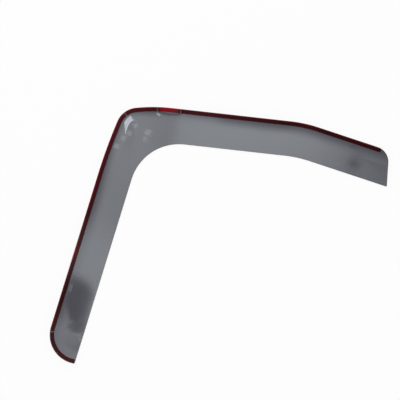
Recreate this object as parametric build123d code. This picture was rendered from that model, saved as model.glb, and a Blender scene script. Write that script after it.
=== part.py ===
"""Window rain deflector for a truck door: a smoked acrylic shield, its bonding tape and the tape's liners.

The deflector lies with its bonding side up. +X runs along the straight roof edge towards the rear,
+Y points from the window to the roof, and the free edge of the blade rests on the plane z = 0.
"""

import os
from dataclasses import astuple, dataclass
from math import atan, atan2, copysign, cos, degrees, radians, sin, tan

from build123d import *

# Outer edge, in millimetres and degrees; runs lie between the points where its straight edges would meet
PILLAR_RUN = 613.0
ROOF_RUN = 427.0
REAR_RUN = 203.0
PILLAR_RAKE = 10.8
REAR_DROP = 12.0
END_ANGLE = 83.7
REAR_CUT = 15.5
END_FLAT = 3.0
BEND_RADIUS = 319.0
REAR_CORNER_RADIUS = 36.0

# Top corner: two flat shoulders and a tight middle
PILLAR_SHOULDER_RADIUS = 1260.0
PILLAR_SHOULDER_TURN = 5.9
CORNER_RADIUS = 51.5
ROOF_SHOULDER_RADIUS = 390.0
ROOF_SHOULDER_TURN = 12.1

# Free edge of the blade, on the window side
PILLAR_WIDTH = 77.0
ROOF_WIDTH = 80.0
FREE_CORNER_RADIUS = 116.0
FREE_BEND_RADIUS = 289.0
POINT_RADIUS = 2.0

# Section of the formed sheet
SHEET = 3.0
FLANGE_WIDTH = 11.5
JOGGLE_RUN = 26.0
JOGGLE_DROP = 5.6
JOGGLE_LEAN = 0.04
BLADE_DROP = 9.5
BLADE_CROWN = 1.6
END_RISE_RUN = 40.0
END_BOWL_RADIUS = 34.0
EDGE_ROUND = 0.8

# Foam tape and its release liner
TAPE_WIDTH = 9.0
TAPE_THICKNESS = 1.1
TAPE_INSET = 1.4
TAPE_GAP = 1.5
LINER_THICKNESS = 0.13
TIP_SETBACK = 1.5
END_SEAM_SETBACK = 10.0
PILLAR_SEAM_ADVANCE = 24.0
CORNER_STRIP = 73.5
SHORT_STRIP = 52.0
REAR_PASS = 7.8

# The liner that has come up in the middle
LIFTED = "short"
BOW_HEIGHT = 4.0
BOW_FOOT = 4.0

# Headings of the straight edges, counter-clockwise from +X, in the order in which the outline is walked
ROOF_HEADING = 0.0
PILLAR_HEADING = 90.0 - PILLAR_RAKE
END_HEADING = PILLAR_HEADING + 180.0 - END_ANGLE
REAR_HEADING = -REAR_DROP
CUT_HEADING = REAR_HEADING - 90.0 + REAR_CUT

# How far the forming contours run on past the trimmed sheet, and the even steps of each loft
OVERRUN = 2 * END_BOWL_RADIUS
LOFT_STEPS = 3

# Largest lean, as the vertical part of a unit vector, of a face or edge that still counts as upright
UPRIGHT = 0.05


def direction(heading):
    """Unit vector in the bonding plane."""
    return Vector(cos(radians(heading)), sin(radians(heading)))


def moved(line, inset):
    """The straight edge moved to the right of its heading, which is towards the window."""
    point, heading = line
    return point + direction(heading - 90) * inset, heading


def meet(line, other):
    """The point where two straight edges cross."""
    point, heading = line
    target, other_heading = other
    across = direction(other_heading - 90)
    along = (target - point).dot(across) / direction(heading).dot(across)
    return point + direction(heading) * along


# The four straight outer edges, from the top corner where roof and pillar edges would meet
TOP = Vector(0, 0)
PILLAR_LINE = (TOP, PILLAR_HEADING)
ROOF_LINE = (TOP, ROOF_HEADING)
END_POINT = TOP - direction(PILLAR_HEADING) * PILLAR_RUN
END_LINE = (END_POINT, END_HEADING)
BEND_POINT = TOP + direction(ROOF_HEADING) * ROOF_RUN
REAR_LINE = (BEND_POINT, REAR_HEADING)
REAR_POINT = BEND_POINT + direction(REAR_HEADING) * REAR_RUN
CUT_LINE = (REAR_POINT, CUT_HEADING)
FREE_PILLAR_LINE = moved(PILLAR_LINE, PILLAR_WIDTH)
TIP_POINT = meet(END_LINE, FREE_PILLAR_LINE)

# The lower end is rounded over its whole edge but for a short flat at the tip
END_RADIUS = ((TIP_POINT - END_POINT).length - END_FLAT) * tan(radians(END_ANGLE / 2))


@dataclass
class Contour:
    """How far a contour lies inside the outer edge on each side, and the radii of its corners."""

    end: float
    pillar: float
    roof: float
    end_radius: float
    pillar_shoulder: float
    corner: float
    roof_shoulder: float
    bend: float

    def inside(self, inset):
        """The parallel contour nearer to the window."""
        end, pillar, roof, *radii = astuple(self)
        return Contour(end + inset, pillar + inset, roof + inset, *(radius - inset for radius in radii))

    def towards(self, other, share):
        """The contour part of the way to another one."""
        pairs = zip(astuple(self), astuple(other))
        return Contour(*(a + (b - a) * share for a, b in pairs))


OUTER = Contour(
    0, 0, 0, END_RADIUS, PILLAR_SHOULDER_RADIUS, CORNER_RADIUS, ROOF_SHOULDER_RADIUS, BEND_RADIUS
)
FLANGE_EDGE = OUTER.inside(FLANGE_WIDTH)
BLADE_FOOT = FLANGE_EDGE.inside(JOGGLE_RUN)
FREE_EDGE = Contour(
    BLADE_FOOT.end + END_RISE_RUN,
    PILLAR_WIDTH,
    ROOF_WIDTH,
    END_BOWL_RADIUS,
    FREE_CORNER_RADIUS,
    FREE_CORNER_RADIUS,
    FREE_CORNER_RADIUS,
    FREE_BEND_RADIUS,
)


def reach(arcs):
    """Lengths that a chain of tangent arcs takes from the two straight edges that it joins."""
    along = 0.0
    aside = 0.0
    turned = 0.0
    for radius, turn in arcs:
        start = radians(turned)
        turned += abs(turn)
        along += radius * (sin(radians(turned)) - sin(start))
        aside += radius * (cos(start) - cos(radians(turned)))
    after = aside / sin(radians(turned))
    return along - after * cos(radians(turned)), after


def tangent_arcs(start, heading, arcs):
    """Arcs that run on from start; each turns right by its angle, or left where the angle is negative."""
    edges = []
    for radius, turn in arcs:
        out = heading + copysign(90, turn)
        centre = start - direction(out) * radius
        middle = centre + direction(out - turn / 2) * radius
        end = centre + direction(out - turn) * radius
        edges.append(Edge.make_three_point_arc(start, middle, end))
        start = end
        heading -= turn
    return edges


def rounded(points, corners, closed=True):
    """Edges of a polygon whose corners are rounded by tangent arcs.

    Each corner is a radius, a chain of (radius, turn) arcs, or 0 where it stays sharp.
    An open run starts at its first point and stops at its last one.
    """
    count = len(points)
    edges = []
    starts = []
    ends = []
    chains = []
    for i, corner in enumerate(corners):
        into = points[i] - points[i - 1]
        away = points[(i + 1) % count] - points[i]
        into_heading = degrees(atan2(into.Y, into.X))
        turn = (into_heading - degrees(atan2(away.Y, away.X)) + 180) % 360 - 180
        arcs = corner if isinstance(corner, list) else [(corner, turn)] if corner else []
        before, after = reach(arcs) if arcs else (0.0, 0.0)
        starts.append(points[i] - into.normalized() * before)
        ends.append(points[i] + away.normalized() * after)
        chains.append(tangent_arcs(starts[i], into_heading, arcs))
    for i in range(count if closed else count - 1):
        following = (i + 1) % count
        edges.append(Edge.make_line(ends[i], starts[following]))
        edges += chains[following]
    return edges


def top_corner(contour):
    """The arcs of the top corner, from the pillar edge to the roof edge."""
    middle_turn = PILLAR_HEADING - ROOF_HEADING - PILLAR_SHOULDER_TURN - ROOF_SHOULDER_TURN
    return [
        (contour.pillar_shoulder, PILLAR_SHOULDER_TURN),
        (contour.corner, middle_turn),
        (contour.roof_shoulder, ROOF_SHOULDER_TURN),
    ]


def outer_run(contour, overrun):
    """Corner points and roundings along a contour, from the lower tip round to the rear end."""
    end = moved(END_LINE, contour.end)
    pillar = moved(PILLAR_LINE, contour.pillar)
    roof = moved(ROOF_LINE, contour.roof)
    rear = moved(REAR_LINE, contour.roof)
    points = [
        meet(end, FREE_PILLAR_LINE) - direction(END_HEADING) * overrun,
        meet(end, pillar),
        meet(pillar, roof),
        meet(roof, rear),
        meet(rear, CUT_LINE) + direction(REAR_HEADING) * overrun,
    ]
    return points, [0, contour.end_radius, top_corner(contour), contour.bend, 0]


def forming_wire(contour, height):
    """A contour closed round the window, at a height measured from the bonding face of the flange."""
    points, corners = outer_run(contour, OVERRUN)
    points.append(Vector(points[-1].X, points[0].Y))
    return Wire(rounded(points, corners + [0])).moved(Pos(0, 0, height))


def sheet_outline():
    """The trimmed outline of the sheet, seen square to the flange."""
    points, corners = outer_run(OUTER, 0)
    free_roof = moved(ROOF_LINE, ROOF_WIDTH)
    free_rear = moved(REAR_LINE, ROOF_WIDTH)
    points += [meet(CUT_LINE, free_rear), meet(free_rear, free_roof), meet(free_roof, FREE_PILLAR_LINE)]
    corners[0] = POINT_RADIUS
    corners[-1] = REAR_CORNER_RADIUS
    corners += [POINT_RADIUS, FREE_BEND_RADIUS, FREE_CORNER_RADIUS]
    return Face(Wire(rounded(points, corners)))


def blade_height(share):
    """Height of the blade's inner face, from its foot at 0 to the free edge at 1, along a shallow arc."""
    return -JOGGLE_DROP - BLADE_DROP * share - 4 * BLADE_CROWN * share * (1 - share)


def joggle_height(share):
    """Height across the joggle: nearly level at the flange, and as steep as the blade where the blade starts."""
    foot_slope = (BLADE_DROP + 4 * BLADE_CROWN) / (PILLAR_WIDTH - BLADE_FOOT.pillar)
    fall = JOGGLE_DROP * (3 * share**2 - 2 * share**3)
    leave = JOGGLE_LEAN * JOGGLE_RUN * (share**3 - 2 * share**2 + share)
    return -fall - leave - foot_slope * JOGGLE_RUN * (share**3 - share**2)


def hollow():
    """The space inside the deflector: a loft down the joggle, and one down the blade past the free edge."""
    steps = [step / LOFT_STEPS for step in range(LOFT_STEPS + 1)]
    joggle = [forming_wire(FLANGE_EDGE.towards(BLADE_FOOT, share), joggle_height(share)) for share in steps]
    blade = [forming_wire(BLADE_FOOT.towards(FREE_EDGE, share), blade_height(share)) for share in steps]
    past = (PILLAR_WIDTH - BLADE_FOOT.pillar) / LOFT_STEPS
    blade.append(forming_wire(FREE_EDGE.inside(past), blade_height(1 + 1 / LOFT_STEPS)))
    return Solid.make_loft(joggle) + Solid.make_loft(blade)


def make_shield():
    """The formed sheet: flange and bowl, one sheet thick, trimmed to the outline, with its cut edges eased."""
    outline = sheet_outline()
    inner = hollow()
    depth = JOGGLE_DROP + BLADE_DROP + SHEET
    flange = extrude(outline, SHEET, dir=(0, 0, -1))
    trim = extrude(outline, 2 * depth, dir=(0, 0, -1))
    sheet = (trim & (flange + inner.moved(Pos(0, 0, -SHEET)))) - inner
    cut_faces = sheet.faces().filter_by(lambda face: abs(face.normal_at().Z) < UPRIGHT)
    cut_edges = cut_faces.edges().filter_by(lambda edge: abs((edge % 0.5).Z) < 1 - UPRIGHT)
    return fillet(cut_edges, EDGE_ROUND)


def ribbon(path, thickness):
    """A flat strip of tape width, swept along a path through the middle of its thickness."""
    across = (path % 0).cross(Vector(0, 0, 1))
    section = Plane(path @ 0, x_dir=across, z_dir=path % 0)
    return sweep(section * Rectangle(TAPE_WIDTH, thickness), path=path)


def strip_paths():
    """Centre lines of the five lengths of tape on the flange, by name."""
    middle = OUTER.inside(TAPE_INSET + TAPE_WIDTH / 2)
    run = Wire(rounded(*outer_run(middle, 0), closed=False))
    pieces = [edge.length for edge in run.edges().sort_by(run)]
    end_seam = sum(pieces[:2]) - END_SEAM_SETBACK
    pillar_seam = sum(pieces[:4]) + PILLAR_SEAM_ADVANCE
    corner_seam = pillar_seam + CORNER_STRIP + TAPE_GAP
    short_seam = corner_seam + SHORT_STRIP + TAPE_GAP
    rear_end = run.length - REAR_CORNER_RADIUS * tan(radians((90 - REAR_CUT) / 2)) + REAR_PASS
    marks = {
        "end": (TIP_SETBACK, end_seam - TAPE_GAP),
        "pillar": (end_seam, pillar_seam - TAPE_GAP),
        "corner": (pillar_seam, corner_seam - TAPE_GAP),
        "short": (corner_seam, short_seam - TAPE_GAP),
        "roof": (short_seam, rear_end),
    }
    return {name: run.trim(start / run.length, end / run.length) for name, (start, end) in marks.items()}


def bowed_path(path):
    """A line above a strip that lies flat at both ends and stands up in a bow of tangent arcs between them."""
    along = ((path @ 1) - (path @ 0)).normalized()
    half = (path @ 1 - path @ 0).length / 2 - BOW_FOOT
    lean = 2 * atan(BOW_HEIGHT / half)
    radius = half / (2 * sin(lean))
    turn = degrees(lean)
    flat = Edge.make_line((0, 0), (BOW_FOOT, 0))
    bow = tangent_arcs(flat @ 1, 0, [(radius, -turn), (radius, 2 * turn), (radius, -turn)])
    rest = Edge.make_line(bow[-1] @ 1, bow[-1] @ 1 + Vector(BOW_FOOT, 0))
    upright = Plane(path @ 0, x_dir=along, z_dir=along.cross(Vector(0, 0, 1)))
    return upright * Wire([flat, *bow, rest])


def make_parts():
    """Every piece of the deflector, by name, with the bonding face of the flange at z = 0."""
    parts = {"shield": make_shield()}
    for name, path in strip_paths().items():
        foam = path.moved(Pos(0, 0, TAPE_THICKNESS / 2))
        film = path.moved(Pos(0, 0, TAPE_THICKNESS + LINER_THICKNESS / 2))
        if name == LIFTED:
            film = bowed_path(film)
        parts[f"{name}_tape"] = ribbon(foam, TAPE_THICKNESS)
        parts[f"{name}_liner"] = ribbon(film, LINER_THICKNESS)
    return parts


os.makedirs("parts", exist_ok=True)
pieces = make_parts()
box = Compound(list(pieces.values())).bounding_box()
to_origin = Pos(-box.center().X, -box.center().Y, -box.min.Z)
for name, piece in pieces.items():
    export_step(to_origin * piece, f"parts/{name}.step")
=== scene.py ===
# %% [markdown]
# # A window rain deflector in smoked acrylic
#
# A rain deflector is a long L of tinted plastic sheet. Its flat outer flange is bonded to the frame of a cab door's
# window, and its hollow blade stands off the glass, so that the window can stay open a little in the rain. Here it
# lies with its bonding side up: a flange with five lengths of foam tape, each still under its red release film.
#
# The CAD model gives the size and the place of every piece. This script dresses it: it makes the same forms again as
# fine, smooth surfaces, and gives them materials, a floor, light and a camera.

import bpy
import numpy as np
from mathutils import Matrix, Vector


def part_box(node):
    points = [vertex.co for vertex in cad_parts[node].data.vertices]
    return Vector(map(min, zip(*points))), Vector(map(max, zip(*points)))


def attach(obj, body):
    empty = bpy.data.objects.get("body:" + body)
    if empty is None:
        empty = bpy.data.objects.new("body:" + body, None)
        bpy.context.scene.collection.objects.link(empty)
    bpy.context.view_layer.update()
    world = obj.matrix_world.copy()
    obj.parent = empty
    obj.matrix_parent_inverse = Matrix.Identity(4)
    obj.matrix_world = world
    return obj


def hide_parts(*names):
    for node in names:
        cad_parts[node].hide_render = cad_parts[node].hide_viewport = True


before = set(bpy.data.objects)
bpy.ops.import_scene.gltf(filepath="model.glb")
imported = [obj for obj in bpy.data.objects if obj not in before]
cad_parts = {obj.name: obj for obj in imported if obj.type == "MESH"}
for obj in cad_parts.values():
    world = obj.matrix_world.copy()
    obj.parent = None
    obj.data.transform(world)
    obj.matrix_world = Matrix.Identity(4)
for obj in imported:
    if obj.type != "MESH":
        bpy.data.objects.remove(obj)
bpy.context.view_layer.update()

# %% [markdown]
# ## The outline is a walk
#
# A door frame is drawn with straight edges and arcs, and so is the deflector that fits on it. Its outer edge could be
# a hand-placed curve, but then the flange would not keep an even width. A walk works better: start at the lower tip,
# go straight, turn right through an arc, go straight again. Every contour of the sheet is the same walk with other
# lengths and radii, so one function draws them all. Sizes are in millimetres and degrees, as on the CAD drawing.

# %% Sizes of the outer edge
PILLAR_RUN = 613.0
ROOF_RUN = 427.0
REAR_RUN = 203.0
PILLAR_RAKE = 10.8
REAR_DROP = 12.0
END_ANGLE = 83.7
REAR_CUT = 15.5
END_FLAT = 3.0
BEND_RADIUS = 319.0
REAR_CORNER_RADIUS = 36.0
PILLAR_SHOULDER_RADIUS = 1260.0
PILLAR_SHOULDER_TURN = 5.9
CORNER_RADIUS = 51.5
ROOF_SHOULDER_RADIUS = 390.0
ROOF_SHOULDER_TURN = 12.1
PILLAR_WIDTH = 77.0
ROOF_WIDTH = 80.0

ROOF_HEADING = 0.0
PILLAR_HEADING = 90.0 - PILLAR_RAKE
END_HEADING = PILLAR_HEADING + 180.0 - END_ANGLE
REAR_HEADING = -REAR_DROP
CUT_HEADING = REAR_HEADING - 90.0 + REAR_CUT

# Turns of the nine runs, from the lower tip to the rear end, and the heading with which each run starts
CORNER_TURN = PILLAR_HEADING - ROOF_HEADING - PILLAR_SHOULDER_TURN - ROOF_SHOULDER_TURN
END_TURN = END_HEADING - PILLAR_HEADING
TURNS = np.array([0, END_TURN, 0, PILLAR_SHOULDER_TURN, CORNER_TURN, ROOF_SHOULDER_TURN, 0, REAR_DROP, 0])
HEADINGS = END_HEADING - np.cumsum(TURNS) + TURNS
print("headings of the nine runs:", HEADINGS.round(1))


# %% Straight edges and where they cross
def direction(heading):
    """Unit vectors in the bonding plane: the cosine and the sine of each heading."""
    angle = np.radians(heading)
    return np.stack([np.cos(angle), np.sin(angle)], axis=-1)


def moved(point, heading, inset):
    """Points on a straight edge that is moved to the right of its heading, towards the window, by each inset."""
    return point + np.multiply.outer(inset, direction(heading - 90))


def meet(point, heading, other, other_heading):
    """Where two straight edges cross: the gap to the other edge, divided by how fast the walk closes it."""
    across = direction(other_heading - 90)
    along = (other - point) @ across / (direction(heading) @ across)
    return point + np.multiply.outer(along, direction(heading))


TOP = np.zeros(2)
END_POINT = TOP - PILLAR_RUN * direction(PILLAR_HEADING)
BEND_POINT = TOP + ROOF_RUN * direction(ROOF_HEADING)
REAR_POINT = BEND_POINT + REAR_RUN * direction(REAR_HEADING)
TIP_POINT = meet(END_POINT, END_HEADING, moved(TOP, PILLAR_HEADING, PILLAR_WIDTH), PILLAR_HEADING)
END_RADIUS = (np.linalg.norm(TIP_POINT - END_POINT) - END_FLAT) * np.tan(np.radians(END_ANGLE / 2))
print("lower end rounded with radius", END_RADIUS.round(2), "mm")

# %% [markdown]
# ## A family of contours
#
# Each contour is a row of eight numbers: how far it lies inside the outer edge at the lower end, the pillar and the
# roof, and the radii of its five arcs. A parallel contour adds the same distance to the insets and takes it from the
# radii, and blending two rows gives the contours between them. The whole family is one array, so the walk below is
# worked out for every contour and every station at once.

# %% The rows of the family
FLANGE_WIDTH = 11.5
JOGGLE_RUN = 26.0
END_RISE_RUN = 40.0
END_BOWL_RADIUS = 34.0
FREE_CORNER_RADIUS = 116.0
FREE_BEND_RADIUS = 289.0

PARALLEL = np.array([1, 1, 1, -1, -1, -1, -1, -1])
OUTER = np.array(
    [0, 0, 0, END_RADIUS, PILLAR_SHOULDER_RADIUS, CORNER_RADIUS, ROOF_SHOULDER_RADIUS, BEND_RADIUS]
)
FLANGE_EDGE = OUTER + PARALLEL * FLANGE_WIDTH
BLADE_FOOT = FLANGE_EDGE + PARALLEL * JOGGLE_RUN
FREE_EDGE = np.array(
    [BLADE_FOOT[0] + END_RISE_RUN, PILLAR_WIDTH, ROOF_WIDTH, END_BOWL_RADIUS]
    + [FREE_CORNER_RADIUS] * 3
    + [FREE_BEND_RADIUS]
)
print("contours from the outer to the free edge:")
print(np.stack([OUTER, FLANGE_EDGE, BLADE_FOOT, FREE_EDGE]).round(1))

# %% Lengths of the runs
OVERRUN = 2 * END_BOWL_RADIUS


def contour_runs(contours):
    """The point where each contour starts, OVERRUN before the free edge, and the lengths of its nine runs.

    The straight edges are moved in and crossed with each other. An arc of radius r and turn a is r a long and takes
    r tan(a/2) from both straight edges beside it. The three arcs of the top corner reach along the first edge by
    the sum of r (sin b - sin a) and aside by the sum of r (cos a - cos b), where a and b are the turns so far.
    """
    end, pillar, roof, end_radius, pillar_shoulder, corner, roof_shoulder, bend = contours.T
    end_line = moved(END_POINT, END_HEADING, end)
    pillar_line = moved(TOP, PILLAR_HEADING, pillar)
    roof_line = moved(TOP, ROOF_HEADING, roof)
    rear_line = moved(BEND_POINT, REAR_HEADING, roof)
    free_line = moved(TOP, PILLAR_HEADING, PILLAR_WIDTH)
    start = meet(end_line, END_HEADING, free_line, PILLAR_HEADING) - OVERRUN * direction(END_HEADING)
    lower = meet(end_line, END_HEADING, pillar_line, PILLAR_HEADING)
    upper = meet(pillar_line, PILLAR_HEADING, roof_line, ROOF_HEADING)
    bent = meet(roof_line, ROOF_HEADING, rear_line, REAR_HEADING)
    last = meet(rear_line, REAR_HEADING, REAR_POINT, CUT_HEADING)

    end_reach = end_radius * np.tan(np.radians(END_TURN / 2))
    bend_reach = bend * np.tan(np.radians(REAR_DROP / 2))
    turned = np.radians(np.cumsum([0, PILLAR_SHOULDER_TURN, CORNER_TURN, ROOF_SHOULDER_TURN]))
    corner_radii = np.stack([pillar_shoulder, corner, roof_shoulder], axis=1)
    along = corner_radii @ np.diff(np.sin(turned))
    aside = corner_radii @ -np.diff(np.cos(turned))
    after = aside / np.sin(turned[-1])
    before = along - after * np.cos(turned[-1])

    arcs = np.radians(TURNS) * np.stack(
        [end, end_radius, end, pillar_shoulder, corner, roof_shoulder, end, bend, end], axis=1
    )
    lengths = arcs.copy()
    lengths[:, 0] = np.linalg.norm(lower - start, axis=1) - end_reach
    lengths[:, 2] = np.linalg.norm(upper - lower, axis=1) - end_reach - before
    lengths[:, 6] = np.linalg.norm(bent - upper, axis=1) - after - bend_reach
    lengths[:, 8] = np.linalg.norm(last - bent, axis=1) - bend_reach
    return start, lengths


def walk(start, lengths, walked):
    """Points and headings on each contour once a length has been walked.

    Every run adds the chord of what has been walked of it. A stretch of length w that turns by a has a chord of
    w sin(a/2) / (a/2), which points half the turn to the right of the heading with which the run starts.
    """
    begins = np.cumsum(lengths, axis=1) - lengths
    done = np.clip(walked[:, :, None] - begins[:, None], 0, lengths[:, None])
    turned = TURNS * done / lengths[:, None]
    chords = done * np.sinc(turned / 360)
    points = start[:, None] + (chords[..., None] * direction(HEADINGS - turned / 2)).sum(axis=2)
    return points, END_HEADING - turned.sum(axis=2)


start, lengths = contour_runs(np.stack([OUTER, FREE_EDGE]))
print("runs of the outer and of the free edge, mm:")
print(lengths.round(1))

# %% [markdown]
# ## The formed sheet
#
# The real shield is a flat blank of 3 mm acrylic that is heated, draped over a former and trimmed. The former has
# three zones: a flat flange, a joggle that turns down in a smooth bend, and a shallow hollow blade. A box with bevels
# could not follow that. So the sheet is a grid: across the sheet it steps from contour to contour, each at the height
# that the former has there, and along the sheet it follows the walk. Steps crowd together at the outer and the free
# edge, because there the trimmed ends curve round fastest.

# %% Contours and heights across the sheet
EDGE_ROUND = 0.8
JOGGLE_DROP = 5.6
JOGGLE_LEAN = 0.04
BLADE_DROP = 9.5
BLADE_CROWN = 1.6
FLANGE_STEPS = 9
JOGGLE_STEPS = 16
BLADE_STEPS = 28


def joggle_height(share):
    """A cubic in the share across: it leaves the flange with a slight lean, and ends JOGGLE_DROP lower, as steep as
    the blade at its foot."""
    foot_slope = (BLADE_DROP + 4 * BLADE_CROWN) / (PILLAR_WIDTH - BLADE_FOOT[1])
    leave = JOGGLE_LEAN * JOGGLE_RUN * (share**3 - 2 * share**2 + share)
    return -JOGGLE_DROP * (3 * share**2 - 2 * share**3) - leave - foot_slope * JOGGLE_RUN * (share**3 - share**2)


def blade_height(share):
    """A straight fall of BLADE_DROP from foot to free edge, with a parabola of BLADE_CROWN hollowed out of it."""
    return -JOGGLE_DROP - BLADE_DROP * share - 4 * BLADE_CROWN * share * (1 - share)


flange_inset = EDGE_ROUND + (FLANGE_WIDTH - EDGE_ROUND) * np.linspace(0, 1, FLANGE_STEPS) ** 2
joggle_share = np.linspace(0, 1, JOGGLE_STEPS + 1)[1:]
free_share = 1 - EDGE_ROUND / (PILLAR_WIDTH - BLADE_FOOT[1])
blade_share = free_share * (1 - (1 - np.linspace(0, 1, BLADE_STEPS + 1)[1:]) ** 2)
contours = np.concatenate(
    [
        OUTER + np.multiply.outer(flange_inset, PARALLEL),
        FLANGE_EDGE + np.multiply.outer(joggle_share, BLADE_FOOT - FLANGE_EDGE),
        BLADE_FOOT + np.multiply.outer(blade_share, FREE_EDGE - BLADE_FOOT),
    ]
)
heights = np.concatenate([0 * flange_inset, joggle_height(joggle_share), blade_height(blade_share)])
print(len(contours), "contours, from height", heights[0], "to", heights[-1].round(2), "mm")

# %% [markdown]
# A contour of the family runs on past the sheet, so each one is cut where the trimmed edge crosses it. Near the lower
# end that is the straight free edge of the pillar arm, and the contours meet it one after the other, up to the point
# where the free edge itself begins. At the rear end it is the upright cut, with a large rounded corner at the flange.

# %% Where the trimmed edges cut each contour
POINT_RADIUS = 2.0


def corner_cut(inset, radius, angle):
    """Length that a rounded corner takes from a line that lies inset from one of the corner's edges.

    The corner's circle touches both edges, so its centre lies radius (1 + cos angle) / sin angle along the edge.
    The line leaves the circle sqrt(radius^2 - (radius - inset)^2) before that, and would have left the other edge
    at inset / tan(angle). Past the circle's touching point nothing is cut.
    """
    turn = np.radians(angle)
    inset = np.clip(inset, 0, radius * (1 + np.cos(turn)))
    centre = radius * (1 + np.cos(turn)) / np.sin(turn)
    return centre - np.sqrt(radius**2 - (radius - inset) ** 2) - inset / np.tan(turn)


start, lengths = contour_runs(contours)
ends = np.cumsum(lengths, axis=1)
end_inset, pillar_inset, roof_inset, end_radius = contours.T[:4]
to_free_edge = (PILLAR_WIDTH - EDGE_ROUND - pillar_inset).clip(0) / end_radius
arc_left = np.degrees(np.arccos(np.clip(1 - to_free_edge, -1, 1)))
on_the_arc = ends[:, 1] - np.radians(arc_left) * end_radius
on_the_flat = OVERRUN + EDGE_ROUND / np.sin(np.radians(END_ANGLE))
on_the_flat += corner_cut(end_inset - EDGE_ROUND, POINT_RADIUS - EDGE_ROUND, END_ANGLE)
first = np.where(arc_left < END_TURN, on_the_arc, 0)
first = np.where(lengths[:, 0] > OVERRUN, on_the_flat, first)
last = ends[:, 8] - EDGE_ROUND / np.cos(np.radians(REAR_CUT))
last -= corner_cut(roof_inset - EDGE_ROUND, REAR_CORNER_RADIUS - EDGE_ROUND, 90 + REAR_CUT)
last -= corner_cut(roof_inset[-1] - roof_inset, POINT_RADIUS - EDGE_ROUND, 90 - REAR_CUT)
print("walked before the first station:", first[[0, 20, -1]].round(1), "and at the last:", last[[0, 20, -1]].round(1))

# %% The grid of the upper face
SPAN_STEPS = [64, 80, 36, 40, 32, 40, 16, 30]
END_SUPPORT = 0.012
LOWER_SPAN = 60.0

marks = np.column_stack([first, ends[:, 1] + LOWER_SPAN, ends[:, 2:8], last])
stations = np.concatenate([span + np.arange(steps) / steps for span, steps in enumerate(SPAN_STEPS)])
spans = len(SPAN_STEPS)
stations = np.sort(np.append(stations, [END_SUPPORT, spans - END_SUPPORT, spans]))
span = np.minimum(stations.astype(int), spans - 1)
walked = marks[:, span] + (stations - span) * (marks[:, span + 1] - marks[:, span])
flat = walk(start, lengths, walked)[0]
upper_face = np.dstack([flat, np.broadcast_to(heights[:, None], flat.shape[:2])])
print("upper face:", upper_face.shape[0], "by", upper_face.shape[1], "points")

# %% [markdown]
# The lower face is the upper one moved down by the thickness of the sheet. Between them runs the sawn and flame
# polished edge: a quarter round, a straight wall and another quarter round, carried once round the trimmed outline.

# %% Lower face, rounded edge and their quads
SHEET = 3.0
ROUND_STEPS = 4

rows, columns = upper_face.shape[:2]
grid = np.arange(rows * columns).reshape(rows, columns)
loop = np.concatenate([grid[0, :-1], grid[:-1, -1], grid[-1, :0:-1], grid[:0:-1, 0]])
upper = upper_face.reshape(-1, 3)
edge = upper[loop]
along_edge = np.roll(edge, -1, axis=0) - np.roll(edge, 1, axis=0)
outward = np.column_stack([-along_edge[:, 1], along_edge[:, 0], np.zeros(len(edge))])
outward /= np.linalg.norm(outward, axis=1)[:, None]

lean = np.radians(90) * np.arange(1, ROUND_STEPS + 1) / ROUND_STEPS
out = EDGE_ROUND * np.sin(np.append(lean, lean[::-1]))
down = EDGE_ROUND * (1 - np.cos(lean))
down = np.append(down, SHEET - down[::-1])
rim = edge + out[:, None, None] * outward - down[:, None, None] * np.array([0, 0, 1])
sheet_points = np.concatenate([upper, upper - [0, 0, SHEET], rim.reshape(-1, 3)])


def quads_between(first_row, second_row):
    """Faces between two rows of point numbers, seen from outside when the second row lies right of the first."""
    return np.stack([first_row[..., :-1], second_row[..., :-1], second_row[..., 1:], first_row[..., 1:]], axis=-1)


rim_rows = np.arange(rim.shape[0] * rim.shape[1]).reshape(rim.shape[:2]) + 2 * rows * columns
rim_rows = np.vstack([loop, rim_rows, loop + rows * columns])
rim_rows = np.column_stack([rim_rows, rim_rows[:, 0]])
upper_quads = quads_between(grid[:-1], grid[1:]).reshape(-1, 4)
rim_quads = quads_between(rim_rows[1:], rim_rows[:-1]).reshape(-1, 4)
sheet_quads = np.concatenate([upper_quads, upper_quads[:, ::-1] + rows * columns, rim_quads])
cut_edge = np.append(np.zeros(2 * rows * columns), np.ones(rim.shape[0] * rim.shape[1]))
print(len(sheet_points), "points and", len(sheet_quads), "faces in the shield")

# %% [markdown]
# ## From arrays to Blender objects
#
# One helper turns points and faces into an object. It scales millimetres to metres and moves the drawing's origin to
# where the CAD model has it, which it works out from the box of the CAD shield. The piece then rides on the part and
# stands for its CAD node.

# %% A helper that makes a piece
MM = 0.001

low, high = (np.array(corner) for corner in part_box("shield"))
drawn = sheet_points * MM
middle = (low + high) / 2 - (drawn.min(axis=0) + drawn.max(axis=0)) / 2
origin = np.array([middle[0], middle[1], high[2]])


def make_piece(node, slot, points, quads, **attributes):
    """A smooth mesh object that stands for a CAD node; attributes are one number per point."""
    mesh = bpy.data.meshes.new(f"{node}_surface")
    mesh.from_pydata(points * MM + origin, [], quads)
    mesh.polygons.foreach_set("use_smooth", np.ones(len(quads), dtype=bool))
    for name, values in attributes.items():
        mesh.attributes.new(name, "FLOAT", "POINT").data.foreach_set("value", values)
    mesh.validate()
    piece = bpy.data.objects.new(f"{node}_visual", mesh)
    bpy.context.scene.collection.objects.link(piece)
    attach(piece, "root")
    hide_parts(node)
    return piece
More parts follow.
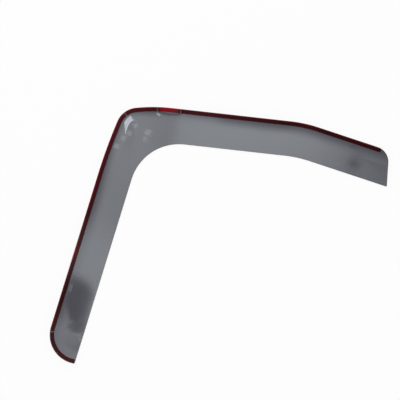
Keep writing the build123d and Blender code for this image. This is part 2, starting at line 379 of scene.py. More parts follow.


# %% [markdown]
# The sheet has a few soft pale spots, most of them near the corner; two of them, beside a tape seam, are a painted
# highlight. Low on the pillar, along the free edge, a painted sheen lightens the blade. Both are marked on the points
# of the sheet, so that the material can lighten there.

# %% Pale spots, a painted highlight and a painted sheen, and the shield
# Each spot is its place on the drawing, its radius in mm and how pale it is; the last two are a painted highlight
PALE_SPOTS_AND_GLINTS = np.array(
    [
        [70.9, -61.6, 9.5, 0.33],
        [65.8, -78.4, 7.0, 0.22],
        [40.5, -48.8, 7.0, 0.30],
        [28.9, -68.6, 7.0, 0.36],
        [17.4, -80.3, 7.5, 0.26],
        [2.3, -100.5, 7.0, 0.36],
        [-65.0, -432.0, 5.0, 0.25],
        [-66.6, -440.0, 5.0, 0.25],
        [-57.0, -514.6, 4.5, 0.20],
        [-48.0, -542.5, 4.0, 0.16],
        [-41.0, -542.5, 4.0, 0.16],
        [-33.0, -543.0, 4.5, 0.20],
        [-31.0, -551.5, 5.0, 0.16],
        # Painted highlight: a white glint beside the seam at the short strip
        [89.0, -17.2, 3.2, 0.80],
        [92.0, -19.0, 3.2, 0.80],
    ]
)
# Painted sheen: the blade is painted lighter along its free edge, low on the pillar
EDGE_SHEEN = 0.42
EDGE_SHEEN_REACH = 10.0

# Where the painted sheen starts and stops down the pillar, each a place and a softness in mm
EDGE_SHEEN_TOP = (425.0, 8.0)
EDGE_SHEEN_END = (505.0, 6.0)


def soft_step(place, middle, width):
    """Rises from 0 to 1 round the middle: one over one plus the exponential of minus the distance over the width."""
    return 1 / (1 + np.exp(-(place - middle) / width))


def soft_fall(place, middle, width):
    """Falls from 1 to 0 round the middle: the soft step the other way round."""
    return soft_step(-place, -middle, width)


def spots_and_glints(points):
    """How pale each point is, the seam spots being a painted highlight: per spot, strength times one minus the fourth
    power of distance over radius.
    """
    away = np.linalg.norm(points[:, None, :2] - PALE_SPOTS_AND_GLINTS[:, :2], axis=2) / PALE_SPOTS_AND_GLINTS[:, 2]
    return (PALE_SPOTS_AND_GLINTS[:, 3] * (1 - away**4).clip(0)).sum(axis=1)


def painted_edge_sheen(points):
    """How much painted sheen lightens each point: strongest at the free edge of the pillar arm, a third as much at the
    sheen's reach inside it.
    """
    inside = PILLAR_WIDTH - points[:, :2] @ direction(PILLAR_HEADING - 90)
    down = -points[:, :2] @ direction(PILLAR_HEADING)
    return EDGE_SHEEN * np.exp(-np.abs(inside) / EDGE_SHEEN_REACH) * soft_step(down, *EDGE_SHEEN_TOP) * soft_fall(down, *EDGE_SHEEN_END)


# The sheet's points carry the pale spots, the painted seam highlight and the painted sheen
shield = make_piece(
    "shield",
    "smoked_acrylic",
    sheet_points,
    sheet_quads,
    cut_edge=cut_edge,
    dried_drops=spots_and_glints(sheet_points) + painted_edge_sheen(sheet_points),
)
print("shield from", low.round(4), "to", high.round(4), "drawn about", origin.round(5))

# %% [markdown]
# ## Foam tape
#
# The bonding tape is a closed-cell foam strip, cut from a roll and pressed onto the flange with small gaps. It could
# be a bevelled curve, but a bevelled curve rolls with the path. A flat section carried along the walk stays level: at
# each station the section's points are laid out to the right of the heading and up.

# %% Sections and strips
TAPE_WIDTH = 9.0
TAPE_THICKNESS = 1.1
TAPE_INSET = 1.4
STATION_STEP = 3.0
SECTION_POINTS = 5
FLAT_HALF = 0.35


def flat_section(width, thickness, rounding):
    """A flat strip's section, as places across and heights above its middle: upper side, then lower side.

    Each corner is a quarter circle of the given rounding, and the upper and lower sides mirror each other. Points of
    the flat lie up to FLAT_HALF of the width from the middle.
    """
    lean = np.linspace(-90, 0, SECTION_POINTS)
    side = np.column_stack([rounding * np.sin(np.radians(lean)), rounding * np.cos(np.radians(lean))])
    left = side + [rounding - width / 2, thickness / 2 - rounding]
    across = np.linspace(-FLAT_HALF, FLAT_HALF, SECTION_POINTS) * width
    middle = np.column_stack([across, np.full(SECTION_POINTS, thickness / 2)])
    right = left[::-1] * [-1, 1]
    upper_side = np.concatenate([left, middle, right])
    return np.concatenate([upper_side, upper_side[::-1] * [1, -1]])


tape_line = (OUTER + PARALLEL * (TAPE_INSET + TAPE_WIDTH / 2))[None]
tape_start, tape_runs = contour_runs(tape_line)
tape_ends = np.cumsum(tape_runs[0])


def carry(section, first, last, lift=None):
    """Points, faces and lengths of a section carried along the tape's line between two walked lengths.

    A point is the station's place, plus its place across times the direction right of the heading, plus its height.
    lift, if given, is a function of the length from first: it returns how much higher each station lies.
    """
    count = int(np.ceil((last - first) / STATION_STEP)) + 1
    along = np.linspace(0, last - first, count)
    places, headings = walk(tape_start, tape_runs, first + along[None])
    right = direction(headings[0] - 90)
    flat = places[0][:, None] + section[:, 0, None] * right[:, None]
    raised = np.zeros(count) if lift is None else lift(along)
    points = np.dstack([flat, section[:, 1] + raised[:, None]])
    ring = len(section)
    rows = np.arange(count * ring).reshape(count, ring)
    closed = np.column_stack([rows, rows[:, 0]])
    sides = quads_between(closed[1:], closed[:-1]).reshape(-1, 4)
    upper_side, lower_side = rows[:, : ring // 2], rows[:, : ring // 2 - 1 : -1]
    first_cap = quads_between(upper_side[0], lower_side[0])
    last_cap = quads_between(lower_side[-1], upper_side[-1])
    return points, np.concatenate([sides, first_cap, last_cap]), along


# %% Where each length of tape starts and stops
TAPE_GAP = 1.5
TIP_SETBACK = 1.5
END_SEAM_SETBACK = 10.0
PILLAR_SEAM_ADVANCE = 24.0
CORNER_STRIP = 73.5
SHORT_STRIP = 52.0
REAR_PASS = 7.8

end_seam = tape_ends[1] - END_SEAM_SETBACK
pillar_seam = tape_ends[3] + PILLAR_SEAM_ADVANCE
corner_seam = pillar_seam + CORNER_STRIP + TAPE_GAP
short_seam = corner_seam + SHORT_STRIP + TAPE_GAP
rear_end = tape_ends[8] - REAR_CORNER_RADIUS * np.tan(np.radians((90 - REAR_CUT) / 2)) + REAR_PASS
strips = {
    "end": (OVERRUN + TIP_SETBACK, end_seam - TAPE_GAP),
    "pillar": (end_seam, pillar_seam - TAPE_GAP),
    "corner": (pillar_seam, corner_seam - TAPE_GAP),
    "short": (corner_seam, short_seam - TAPE_GAP),
    "roof": (short_seam, rear_end),
}
print({name: f"{last - first:.1f} mm" for name, (first, last) in strips.items()})

# %% The five lengths of foam
FOAM_ROUND = 0.12

foam_section = flat_section(TAPE_WIDTH, TAPE_THICKNESS, FOAM_ROUND)
foam = []
for name, (first, last) in strips.items():
    points, quads, along = carry(foam_section + [0, TAPE_THICKNESS / 2], first, last)
    foam.append(make_piece(f"{name}_tape", "foam_tape", points.reshape(-1, 3), quads))
print(len(foam), "lengths of foam tape")

# %% [markdown]
# ## Release film
#
# A thin red film covers the adhesive until the deflector is bonded. Where it sticks it lies flat; the short length
# has come up in the middle and stands in a bow. The same section function makes it, with a lift along the strip: four
# arcs that leave the tape level, rise, and come back level. Attributes keep how pale the film is, with a painted
# highlight where it has come off, and where a point lies on the strip, for the material.

# %% The lift of the loose film
LINER_THICKNESS = 0.13
LINER_ROUND = 0.03
BOW_HEIGHT = 4.0
BOW_FOOT = 4.0


def bow_lift(length):
    """Lift of the loose film: arcs of one radius r, with x the place from the bow's near foot.

    Near the foot the lift is r - sqrt(r^2 - x^2), and round the middle it is sqrt(r^2 - (half - x)^2) - r plus the
    height. The radius makes the two arcs meet halfway, where both lean 2 atan(height / half).
    """
    half = SHORT_STRIP / 2 - BOW_FOOT
    radius = half / (2 * np.sin(2 * np.arctan(BOW_HEIGHT / half)))
    x = (half - np.abs(length - SHORT_STRIP / 2)).clip(0, half)
    near_foot = radius - np.sqrt(radius**2 - np.minimum(x, half / 2) ** 2)
    near_middle = np.sqrt(radius**2 - (half - np.maximum(x, half / 2)) ** 2) - radius + BOW_HEIGHT
    return np.where(x < half / 2, near_foot, near_middle)


print("the loose film stands", bow_lift(np.array([SHORT_STRIP / 2])).round(2), "mm high in the middle")

# %% Where the film is paler, and its painted highlight
# Painted highlight of the loose film: share of bright red once it is LET_GO mm off, and what the full lift adds
LET_GO = 0.06
OFF_HIGHLIGHT = 0.42
LIFT_HIGHLIGHT = 0.16

# Pale stretches from one length along the strip to another, with soft ends, and pale spots with a half width, in mm;
# the spot at 354 mm is a painted sheen
PALE_STRETCHES = [(385, 1040, 0.042), (465, 775, 0.052)]
STRETCH_SOFTNESS = 8
PALE_AND_SHEEN_SPOTS = [(190, 25, 0.07), (354, 20, 0.16)]


def bell(place, middle, width):
    """1 in the middle, falling to zero on both sides: the exponential of minus the squared distance over the width."""
    return np.exp(-(((place - middle) / width) ** 2))


def paleness_along_strip(walked):
    """How much paler the film is along the strip: evenly in the stretches, and like a bell in the spots, the one at
    354 mm a painted sheen.
    """
    stretches = [
        pale * soft_step(walked, start, STRETCH_SOFTNESS) * soft_fall(walked, end, STRETCH_SOFTNESS)
        for start, end, pale in PALE_STRETCHES
    ]
    spots = [pale * bell(walked, middle, half) for middle, half, pale in PALE_AND_SHEEN_SPOTS]
    return sum(stretches + spots)


print("paler in", len(PALE_STRETCHES), "stretches and", len(PALE_AND_SHEEN_SPOTS), "spots")

# %% The five lengths of film
film_section = flat_section(TAPE_WIDTH, LINER_THICKNESS, LINER_ROUND) + [0, TAPE_THICKNESS + LINER_THICKNESS / 2]
film = []
for name, (first, last) in strips.items():
    points, quads, along = carry(film_section, first, last, bow_lift if name == "short" else None)
    shape = points.shape[:2]
    # Painted highlight: the film is painted bright red where it is off the tape, more the higher it stands
    lifted = (points[..., 2] - film_section[:, 1]).clip(0)
    paleness_and_highlight = OFF_HIGHLIGHT * (lifted / LET_GO).clip(0, 1) + LIFT_HIGHLIGHT * lifted / BOW_HEIGHT
    paleness_and_highlight += paleness_along_strip(first + along)[:, None]
    film.append(
        make_piece(
            f"{name}_liner",
            "release_liner",
            points.reshape(-1, 3),
            quads,
            loose=paleness_and_highlight.ravel(),
            along_strip=np.broadcast_to((first + along)[:, None] * MM, shape).ravel(),
            across_strip=np.broadcast_to(film_section[:, 0] * MM, shape).ravel(),
        )
    )
print(len(film), "lengths of release film")

# %% [markdown]
# ## Colours and nodes
#
# Colours are written as they would be picked from a picture, in sRGB hex, and one function turns them into the linear
# values that a renderer works with. One more function adds a shader node with its settings and links.

# %% Helpers for materials
def linear(hex_colour):
    """sRGB hex to linear RGBA: below 0.04045 divide by 12.92, above it raise (c + 0.055) / 1.055 to the power 2.4."""
    coded = np.array([int(hex_colour[i : i + 2], 16) for i in (1, 3, 5)]) / 255
    plain = np.where(coded <= 0.04045, coded / 12.92, ((coded + 0.055) / 1.055) ** 2.4)
    return (*plain.tolist(), 1.0)


def add_node(tree, kind, inputs=None, **settings):
    """Adds a shader node. inputs maps a socket's name or number to another node's socket or to a plain value."""
    made = tree.nodes.new(kind)
    for name, value in settings.items():
        setattr(made, name, value)
    for key, value in (inputs or {}).items():
        if isinstance(value, bpy.types.NodeSocket):
            tree.links.new(value, made.inputs[key])
        else:
            made.inputs[key].default_value = value
    return made


def new_material(name):
    """An empty node material: its tree and its output node."""
    material = bpy.data.materials.new(name)
    material.use_nodes = True
    material.node_tree.nodes.clear()
    return material, material.node_tree, material.node_tree.nodes.new("ShaderNodeOutputMaterial")


def finish_pieces(pieces, material):
    """Gives the pieces one material."""
    for piece in pieces:
        piece.data.materials.clear()
        piece.data.materials.append(material)
    print(material.name, "on", len(pieces), "pieces")


# %% [markdown]
# ## Smoked acrylic
#
# The sheet is cast acrylic, dyed grey all through and polished. It scatters almost nothing: light is either mirrored
# at the skin or goes through, and most of it is lost in the dye. Real glass shading with refraction would leave the
# floor below black, because its light could only arrive as caustics. In a sheet this thin nothing is visibly bent, so
# each skin is a mix of a grey Transparent shader and a dark gloss. Forming leaves a slow ripple in the mirror, wiping
# leaves smears, and at the sawn edge the eye looks through more dye.

# %% Smoked acrylic
RIPPLE_LENGTH = 0.07
RIPPLE_HEIGHT = 0.00012
SMEAR_LENGTH = 0.045
HAZE_LENGTH = 0.12
SKIN_COVER = 0.75


def smoked_acrylic():
    """Cast acrylic, dyed grey and polished: clear, glossy, with faint smears and a denser look at the cut edge."""
    material, tree, output = new_material("smoked_cast_acrylic")
    place = add_node(tree, "ShaderNodeTexCoord").outputs["Object"]
    edge = add_node(tree, "ShaderNodeAttribute", attribute_name="cut_edge").outputs["Fac"]
    spots_and_sheen = add_node(tree, "ShaderNodeAttribute", attribute_name="dried_drops").outputs["Fac"]
    dye = add_node(
        tree,
        "ShaderNodeMix",
        {"Factor": edge, "A": linear("#f6f8fb"), "B": linear("#a9adb2")},
        data_type="RGBA",
    )
    smear = add_node(tree, "ShaderNodeTexNoise", {"Vector": place, "Scale": 1 / SMEAR_LENGTH, "Detail": 4.0})
    roughness = add_node(
        tree,
        "ShaderNodeMapRange",
        {"Value": smear.outputs["Fac"], "From Min": 0.4, "From Max": 0.7, "To Min": 0.04, "To Max": 0.11},
    )
    ripple = add_node(tree, "ShaderNodeTexNoise", {"Vector": place, "Scale": 1 / RIPPLE_LENGTH, "Detail": 0.0})
    bump = add_node(tree, "ShaderNodeBump", {"Height": ripple.outputs["Fac"], "Distance": RIPPLE_HEIGHT})
    cloud = add_node(tree, "ShaderNodeTexNoise", {"Vector": place, "Scale": 1 / HAZE_LENGTH, "Detail": 2.0})
    haze = add_node(
        tree,
        "ShaderNodeMix",
        {"Factor": cloud.outputs["Fac"], "A": linear("#211a27"), "B": linear("#31283b")},
        data_type="RGBA",
    )
    # Base colour paler at the pale spots, and painted lighter for the seam highlight and the sheen on the pillar's
    # free edge
    body = add_node(
        tree,
        "ShaderNodeMix",
        {"Factor": spots_and_sheen, "A": haze.outputs["Result"], "B": linear("#a4a8b2")},
        data_type="RGBA",
    )
    clear = add_node(tree, "ShaderNodeBsdfTransparent", {"Color": dye.outputs["Result"]})
    gloss = add_node(
        tree,
        "ShaderNodeBsdfPrincipled",
        {
            "Base Color": body.outputs["Result"],
            "Roughness": roughness.outputs["Result"],
            "IOR": 1.49,
            "Specular IOR Level": 1.0,
            "Normal": bump.outputs["Normal"],
        },
    )
    skin = add_node(tree, "ShaderNodeMixShader", {0: SKIN_COVER, 1: clear.outputs[0], 2: gloss.outputs[0]})
    tree.links.new(skin.outputs[0], output.inputs["Surface"])
    return material


finish_pieces([shield], smoked_acrylic())

# %% [markdown]
# ## Acrylic foam
#
# The tape's foam shows only at its sides and in the gaps. It is charcoal grey and dull, and slitting the roll has cut
# its cells open. A Voronoi pattern gives cells of their real size, both as shade and as relief.

# %% Acrylic foam
CELL_SIZE = 0.0006


def closed_cell_foam():
    """Acrylic foam: charcoal grey and dull, with cells that the slitting knife has opened."""
    material, tree, output = new_material("acrylic_foam")
    place = add_node(tree, "ShaderNodeTexCoord").outputs["Object"]
    cells = add_node(tree, "ShaderNodeTexVoronoi", {"Vector": place, "Scale": 1 / CELL_SIZE})
    shade = add_node(
        tree,
        "ShaderNodeMix",
        {"Factor": cells.outputs["Distance"], "A": linear("#232325"), "B": linear("#3c3c3f")},
        data_type="RGBA",
    )
    bump = add_node(tree, "ShaderNodeBump", {"Height": cells.outputs["Distance"], "Distance": CELL_SIZE / 3})
    surface = add_node(
        tree,
        "ShaderNodeBsdfPrincipled",
        {"Base Color": shade.outputs["Result"], "Roughness": 0.85, "Normal": bump.outputs["Normal"]},
    )
    tree.links.new(surface.outputs[0], output.inputs["Surface"])
    return material


finish_pieces(foam, closed_cell_foam())

# %% [markdown]
# ## Red polyethylene film
#
# The film is blown polyethylene, dyed red and clear. Wetted onto dark adhesive it looks deep red, nearly black. Where
# it has come off it is painted bright red, a painted highlight that grows with the lift. Rolling has drawn fine
# streaks along the strip, and here and there the red is paler, in one spot as a painted sheen.

# %% Red polyethylene film
STREAK_WIDTH = 0.0012
STREAK_LENGTH = 0.05
PATCH_LENGTH = 0.06


def release_film():
    """Blown polyethylene, dyed red: deep where it is wetted on, painted bright where it is loose, with streaks along
    it.
    """
    material, tree, output = new_material("red_polyethylene_film")
    loose = add_node(tree, "ShaderNodeAttribute", attribute_name="loose").outputs["Fac"]
    along = add_node(tree, "ShaderNodeAttribute", attribute_name="along_strip").outputs["Fac"]
    across = add_node(tree, "ShaderNodeAttribute", attribute_name="across_strip").outputs["Fac"]
    on_strip = add_node(tree, "ShaderNodeCombineXYZ", {"X": along, "Y": across})
    stretched = add_node(
        tree,
        "ShaderNodeMapping",
        {"Vector": on_strip.outputs[0], "Scale": (1 / STREAK_LENGTH, 1 / STREAK_WIDTH, 1.0)},
    )
    streak = add_node(tree, "ShaderNodeTexNoise", {"Vector": stretched.outputs[0], "Scale": 1.0, "Detail": 3.0})
    patch = add_node(tree, "ShaderNodeTexNoise", {"Vector": on_strip.outputs[0], "Scale": 1 / PATCH_LENGTH})
    stuck = add_node(
        tree,
        "ShaderNodeMix",
        {"Factor": streak.outputs["Fac"], "A": linear("#240507"), "B": linear("#3c080b")},
        data_type="RGBA",
    )
    paler = add_node(
        tree,
        "ShaderNodeMapRange",
        {"Value": patch.outputs["Fac"], "From Min": 0.4, "From Max": 0.7, "To Min": 0.0, "To Max": 0.06},
    )
    # The stronger of the paleness with its painted highlight and the random paler patches picks the bright red
    lifted = add_node(tree, "ShaderNodeMath", {0: loose, 1: paler.outputs["Result"]}, operation="MAXIMUM")
    colour = add_node(
        tree,
        "ShaderNodeMix",
        {"Factor": lifted.outputs[0], "A": stuck.outputs["Result"], "B": linear("#a50d1a")},
        data_type="RGBA",
    )
    roughness = add_node(
        tree,
        "ShaderNodeMapRange",
        {"Value": streak.outputs["Fac"], "From Min": 0.3, "From Max": 0.7, "To Min": 0.25, "To Max": 0.4},
    )
    surface = add_node(
        tree,
        "ShaderNodeBsdfPrincipled",
        {
            "Base Color": colour.outputs["Result"],
            "Roughness": roughness.outputs["Result"],
            "IOR": 1.51,
            "Specular IOR Level": 0.1,
        },
    )
    tree.links.new(surface.outputs[0], output.inputs["Surface"])
    return material


finish_pieces(film, release_film())

# %% [markdown]
# ## Floor and room
#
# The deflector lies on white paper. A floor that is lit to pure white would take so much light that the red film
# would wash out. So the paper shows most of its white by itself to the eye and to mirrors, and only a share of it
# answers to the light, which keeps the shadow. To all other rays it is plain white paper.

# %% Floor
FLOOR_HALF = 6.0
FLOOR_DROP = 0.0003
PAPER_SHARE = 0.07

floor_mesh = bpy.data.meshes.new("floor_surface")
corners = np.array([[-1, -1, 0], [1, -1, 0], [1, 1, 0], [-1, 1, 0]]) * FLOOR_HALF - [0, 0, FLOOR_DROP]
floor_mesh.from_pydata(corners, [], [[0, 1, 2, 3]])
floor = bpy.data.objects.new("floor", floor_mesh)
bpy.context.scene.collection.objects.link(floor)

paper, tree, output = new_material("white_paper")
ray = add_node(tree, "ShaderNodeLightPath").outputs
seen = add_node(tree, "ShaderNodeMath", {0: ray["Is Camera Ray"], 1: ray["Is Glossy Ray"]}, operation="MAXIMUM")
seen = add_node(tree, "ShaderNodeMath", {0: seen.outputs[0], 1: ray["Is Transmission Ray"]}, operation="MAXIMUM")
white = add_node(tree, "ShaderNodeEmission", {"Color": linear("#ffffff"), "Strength": 1.0})
lit = add_node(tree, "ShaderNodeBsdfDiffuse", {"Color": linear("#fafafa")})
own_white = add_node(tree, "ShaderNodeMath", {0: seen.outputs[0], 1: 1 - PAPER_SHARE}, operation="MULTIPLY")
surface = add_node(tree, "ShaderNodeMixShader", {0: own_white.outputs[0], 1: lit.outputs[0], 2: white.outputs[0]})
tree.links.new(surface.outputs[0], output.inputs["Surface"])
floor_mesh.materials.append(paper)
print("floor", 2 * FLOOR_HALF, "m wide,", PAPER_SHARE, "of it answers to the light")

# %% [markdown]
# A polished sheet shows whatever is around it. Here that is a white room with a dark ceiling: the level flange and the
# film look straight up, so a dark ceiling keeps them dark, and the white walls light everything from the sides.

# %% Room
CEILING = 0.12
WALLS = 1.0
WALL_TOP = 0.55
CEILING_EDGE = 0.97

world = bpy.data.worlds.new("white_room")
bpy.context.scene.world = world
world.use_nodes = True
tree = world.node_tree
tree.nodes.clear()
way = add_node(tree, "ShaderNodeTexCoord").outputs["Generated"]
up = add_node(tree, "ShaderNodeSeparateXYZ", {0: way}).outputs["Z"]
room = add_node(
    tree,
    "ShaderNodeMapRange",
    {"Value": up, "From Min": WALL_TOP, "From Max": CEILING_EDGE, "To Min": WALLS, "To Max": CEILING},
    interpolation_type="SMOOTHSTEP",
)
background = add_node(tree, "ShaderNodeBackground", {"Strength": room.outputs["Result"]})
background.inputs["Color"].default_value = linear("#ffffff")
surround = tree.nodes.new("ShaderNodeOutputWorld")
tree.links.new(background.outputs[0], surround.inputs["Surface"])
print("walls", WALLS, "and ceiling", CEILING)

# %% [markdown]
# ## Light
#
# The blade gets its grey from a pale card above the window opening: that is what its slopes mirror. A lamp would show
# a hard edge there, so the card is a sheet whose glow fades out smoothly, which a product photographer would get with
# a diffuser. It is worked out on a grid like the pieces, and only mirrors see it. Its glow is a sum of soft steps,
# along the roof and down the pillar, and of soft spots.

# %% Steps and spots of the card's glow
# Soft steps, each a place and a softness in mm: down the pillar, along the roof, and down from the roof
LOW_PILLAR = (300, 17)
DARK_TOP = (418.5, 6.5)
END_TOP = (484, 2.5)
END_TIP = (524, 9)
ROOF_START = (134.6, 6)
ROOF_STOP = (577, 51)
ROOF_DEPTH = (-147.6, 3.3)
REAR_START = (468, 33)
NEAR_START = (139, 5)
NEAR_STOP = (230, 7.5)

# The card's glow and what its parts add to it, with soft spots of an amount, a middle and a size
CARD_GLOW = 2.2
LEAST_GLOW = 0.02
LOW_PILLAR_GLOW = 0.5
END_GLOW = -0.6
TIP_GLOW = 0.4
ROOF_GLOW = 0.94
REAR_GLOW = -1.25
CORNER_SPOTS = [(3.3, (-40, -60), (89, 89)), (-0.26, (130, -98.5), (70, 36))]
REAR_SPOTS = [(-0.9, (126, 34), (10, 12))]

# How far inside the outer edge it fades out, what changes that along the roof, and the glow that is left outside
FADE = (40.5, 21)
NEAR_FADE = -18
FADE_BELLS = [(11.4, 360, 90), (-14, 115, 24)]
LOW_PILLAR_REST = 1.87
TIP_REST = 1.2
END_REST = 0.25
print("card glow", CARD_GLOW, "and", ROOF_GLOW, "more along the roof")


# %% The glow of the card
def soft_spots(x, y, spots):
    """The sum of soft spots: each is its amount times a bell of its width in x times one of its height in y."""
    return sum(
        amount * bell(x, middle[0], size[0]) * bell(y, middle[1], size[1]) for amount, middle, size in spots
    )


def card_glow(x, y):
    """Glow of the card over each place of the drawing.

    It is even, with more along the roof, round the corner and half-way down the pillar, and less over the lower and
    the rear end. Towards the outer edge a soft step takes it down to what is left outside.
    """
    place = np.dstack([x, y])
    down = -place @ direction(PILLAR_HEADING)
    beside = place @ direction(PILLAR_HEADING - 90)
    rear = (place - BEND_POINT) @ direction(REAR_HEADING)
    beside_rear = (place - BEND_POINT) @ direction(REAR_HEADING - 90)

    above_dark = soft_fall(down, *DARK_TOP)
    low_pillar = soft_step(down, *LOW_PILLAR) * above_dark
    tip = soft_step(down, *END_TIP)
    glow = CARD_GLOW + LOW_PILLAR_GLOW * low_pillar
    glow += (END_GLOW + TIP_GLOW * tip) * soft_step(down, *END_TOP)
    glow += ROOF_GLOW * soft_step(x, *ROOF_START) * soft_fall(x, *ROOF_STOP) * soft_step(y, *ROOF_DEPTH)
    glow += REAR_GLOW * soft_step(x, *REAR_START)
    glow += soft_spots(x, y, CORNER_SPOTS) + soft_spots(rear, beside_rear, REAR_SPOTS)

    middle, softness = FADE
    middle = middle + NEAR_FADE * soft_step(x, *NEAR_START) * soft_fall(x, *NEAR_STOP)
    middle += sum(amount * bell(x, along, width) for amount, along, width in FADE_BELLS)
    inside = soft_step(np.minimum(np.minimum(beside, -y), beside_rear), middle, softness)
    rest = LOW_PILLAR_REST * low_pillar + TIP_REST * tip + END_REST * (1 - above_dark)
    return glow.clip(LEAST_GLOW) * inside + rest * (1 - inside)


print("glow over the inner corner of the blade:", card_glow(np.array([[80.0]]), np.array([[-80.0]])).round(2))

# %% The card that the blade mirrors
CARD_HEIGHT = 110.0
CARD_X = np.linspace(-160, 740, 181)
CARD_Y = np.linspace(-720, 80, 161)


def glow_sheet(name, x, y, height, glow, cover=1.0):
    """A level sheet of the stage that only mirrors see: a grid of places on the drawing, each with its glow and with
    the share that it covers of what is above it."""
    points = np.dstack([x, y, np.full(x.shape, height)]).reshape(-1, 3) * MM
    points[:, :2] += origin[:2]
    rows = np.arange(len(points)).reshape(x.shape)
    mesh = bpy.data.meshes.new(f"{name}_surface")
    mesh.from_pydata(points, [], quads_between(rows[:-1], rows[1:]).reshape(-1, 4))
    for key, values in (("glow", glow), ("cover", cover)):
        values = np.broadcast_to(values, x.shape).ravel().astype(np.float32)
        mesh.attributes.new(key, "FLOAT", "POINT").data.foreach_set("value", values)
    sheet = bpy.data.objects.new(name, mesh)
    bpy.context.scene.collection.objects.link(sheet)
    sheet.visible_camera = sheet.visible_diffuse = sheet.visible_transmission = sheet.visible_shadow = False
    material, tree, output = new_material(f"{name}_glow")
    strength = add_node(tree, "ShaderNodeAttribute", attribute_name="glow").outputs["Fac"]
    emission = add_node(tree, "ShaderNodeEmission", {"Color": linear("#f2fbff"), "Strength": strength})
    covered = add_node(tree, "ShaderNodeAttribute", attribute_name="cover").outputs["Fac"]
    gap = add_node(tree, "ShaderNodeBsdfTransparent")
    sheet_shader = add_node(tree, "ShaderNodeMixShader", {0: covered, 1: gap.outputs[0], 2: emission.outputs[0]})
    tree.links.new(sheet_shader.outputs[0], output.inputs["Surface"])
    mesh.materials.append(material)


card_x, card_y = np.meshgrid(CARD_X, CARD_Y)
glow_sheet("pale_card", card_x, card_y, CARD_HEIGHT, card_glow(card_x, card_y))
print("pale card", CARD_HEIGHT, "mm above the floor")

# %% [markdown]
# The rounded corner of the joggle mirrors one small lamp as a bright wedge. The lamp is a flat sheet of four corners,
# close above the sheet, where the bent corner does not yet turn its image over.

# %% The small lamp that the corner mirrors
GLINT_HEIGHT = 60.0
GLINT_CORNERS = np.array([[[20.6, -46.0], [43.6, -79.3]], [[29.6, -32.0], [45.5, -55.5]]])
GLINT_GLOW = np.array([[7.6, 6.2], [7.6, 7.6]])

glow_sheet("small_lamp", GLINT_CORNERS[..., 0], GLINT_CORNERS[..., 1], GLINT_HEIGHT, GLINT_GLOW)
print("small lamp", GLINT_HEIGHT, "mm above the floor")

# %% [markdown]
# Two dark places, low on the pillar and near the rear end, are mirror images of dark flags, as a photographer calls a
# black card that keeps light off. The blade is hollow and shows some places of the high card twice, so the flags hang
# close above the sheet, where every point of it mirrors a place of its own.

# %% The dark flag over the lower end
FLAG_HEIGHT = 35.0
FLAG_COVER = 0.88
FLAG_DOWN = np.linspace(380, 540, 161)
FLAG_BESIDE = np.linspace(5, 95, 91)

# The flag's upper edge drops away in a parabola from FLAG_SHOULDER on, by FLAG_FALL over FLAG_FALL_RUN
FLAG_TOP = 416
FLAG_SHOULDER = 52
FLAG_FALL = 18
FLAG_FALL_RUN = 26

# Its other edges run straight between two points: the sides by places down the pillar, the end by places beside it
FLAG_LEFT = ((475.18, 515.64), (14, 58.5))
FLAG_RIGHT = ((486, 540), (82.5, 70.62))
FLAG_END = ((5, 95), (549.6, 522.6))
TOP_SOFTNESS = 6
LEFT_SOFTNESS = 5
RIGHT_SOFTNESS = 3.5
END_SOFTNESS = 1.2


def flag_cover(down, beside):
    """How much the flag covers: most between two slanted sides and above its lower end, with soft edges."""
    top = FLAG_TOP + FLAG_FALL * ((beside - FLAG_SHOULDER).clip(0) / FLAG_FALL_RUN) ** 2
    left = soft_step(beside, np.interp(down, *FLAG_LEFT), LEFT_SOFTNESS)
    right = soft_fall(beside, np.interp(down, *FLAG_RIGHT), RIGHT_SOFTNESS)
    end = soft_fall(down, np.interp(beside, *FLAG_END), END_SOFTNESS)
    return FLAG_COVER * left * right * soft_step(down, top, TOP_SOFTNESS) * end


down, beside = np.meshgrid(FLAG_DOWN, FLAG_BESIDE)
flag = beside[..., None] * direction(PILLAR_HEADING - 90) - down[..., None] * direction(PILLAR_HEADING)
glow_sheet("dark_flag", flag[..., 0], flag[..., 1], FLAG_HEIGHT, 0.0, flag_cover(down, beside))
print("dark flag", FLAG_HEIGHT, "mm above the floor")

# %% The rear flag, two soft smudges
REAR_ALONG = np.linspace(85, 195, 111)
REAR_BESIDE = np.linspace(5, 100, 96)
SMUDGES = [(0.4, (137, 68.5), (16, 6.5)), (0.28, (138, 60), (17, 35))]

rear, beside = np.meshgrid(REAR_ALONG, REAR_BESIDE)
flag = BEND_POINT + rear[..., None] * direction(REAR_HEADING) + beside[..., None] * direction(REAR_HEADING - 90)
glow_sheet("rear_flag", flag[..., 0], flag[..., 1], FLAG_HEIGHT, 0.0, soft_spots(rear, beside, SMUDGES))
print("rear flag of", len(SMUDGES), "smudges")

# %% [markdown]
# Under the loose film the sheet mirrors the dark side of the film, which hangs out in a shallow bow. The film of the
# model lies straight, so a narrow dark bow just above the sheet gives the mirror image.

# %% The dark bow under the loose film
BOW_SHADE_HEIGHT = 27.0
BOW_SHADE_WIDTH = 2.2
BOW_MIDDLE = 116.0
BOW_HALF = 25.0
BOW_INSET = 12.3
BOW_OUT = 4.6

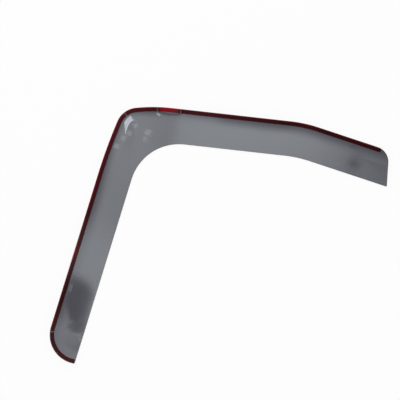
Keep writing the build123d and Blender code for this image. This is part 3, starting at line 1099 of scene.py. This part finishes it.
shade_x, shade_inset = np.meshgrid(np.linspace(85, 147, 63), np.linspace(10, 28, 37))
from_middle = (shade_x - BOW_MIDDLE) / BOW_HALF
bow_line = BOW_INSET + BOW_OUT * (1 - from_middle**2)
shade = bell(shade_inset, bow_line, BOW_SHADE_WIDTH) * (np.abs(from_middle) < 1)
glow_sheet("bow_shade", shade_x, -shade_inset, BOW_SHADE_HEIGHT, 0.0, shade)
print("dark bow", BOW_SHADE_HEIGHT, "mm above the floor")

# %% [markdown]
# The rest of the light is one soft lamp, high above the roof corner. It gives the tape and the film their form and the
# sheet its faint shadow, and mirrors do not see it.

# %% The soft lamp
LAMP_SIZE = 1.0
LAMP_PLACE = (-0.9, 1.2, 1.8)
LAMP_POWER = 12.0

lamp_data = bpy.data.lights.new("soft_lamp", "AREA")
lamp_data.shape = "SQUARE"
lamp_data.size = LAMP_SIZE
lamp_data.energy = LAMP_POWER
lamp = bpy.data.objects.new("soft_lamp", lamp_data)
lamp.location = LAMP_PLACE
lamp.rotation_euler = (-Vector(LAMP_PLACE)).to_track_quat("-Z", "Y").to_euler()
lamp.visible_camera = lamp.visible_glossy = False
bpy.context.scene.collection.objects.link(lamp)
print("soft lamp of", LAMP_SIZE, "m")

# %% [markdown]
# ## Camera
#
# The camera looks straight down from far away, so that the sheet is seen almost without perspective, and it is rolled
# a little. Its place follows from where the drawing's corner point lies in a picture of 400 by 400 pixels.

# %% Camera
PICTURE_SIZE = 400
PICTURE_ROLL = 6.36
CORNER_PIXEL = np.array([119.834, 101.967])
MM_PER_PIXEL = 2.3
CAMERA_HEIGHT = 8.0

roll = np.radians(PICTURE_ROLL)
to_middle = ((PICTURE_SIZE - 1) / 2 - CORNER_PIXEL) * [1, -1] * MM_PER_PIXEL * MM
turn = np.array([[np.cos(roll), -np.sin(roll)], [np.sin(roll), np.cos(roll)]])
aim = origin[:2] + turn @ to_middle

camera_data = bpy.data.cameras.new("camera")
camera_data.sensor_width = 36.0
camera_data.lens = camera_data.sensor_width * CAMERA_HEIGHT / (PICTURE_SIZE * MM_PER_PIXEL * MM)
camera_data.clip_end = 100
camera = bpy.data.objects.new("camera", camera_data)
camera.location = (*aim, CAMERA_HEIGHT)
camera.rotation_euler = (0, 0, roll)
bpy.context.scene.collection.objects.link(camera)
bpy.context.scene.camera = camera
bpy.context.scene.view_settings.view_transform = "Standard"
print("camera above", aim.round(5))
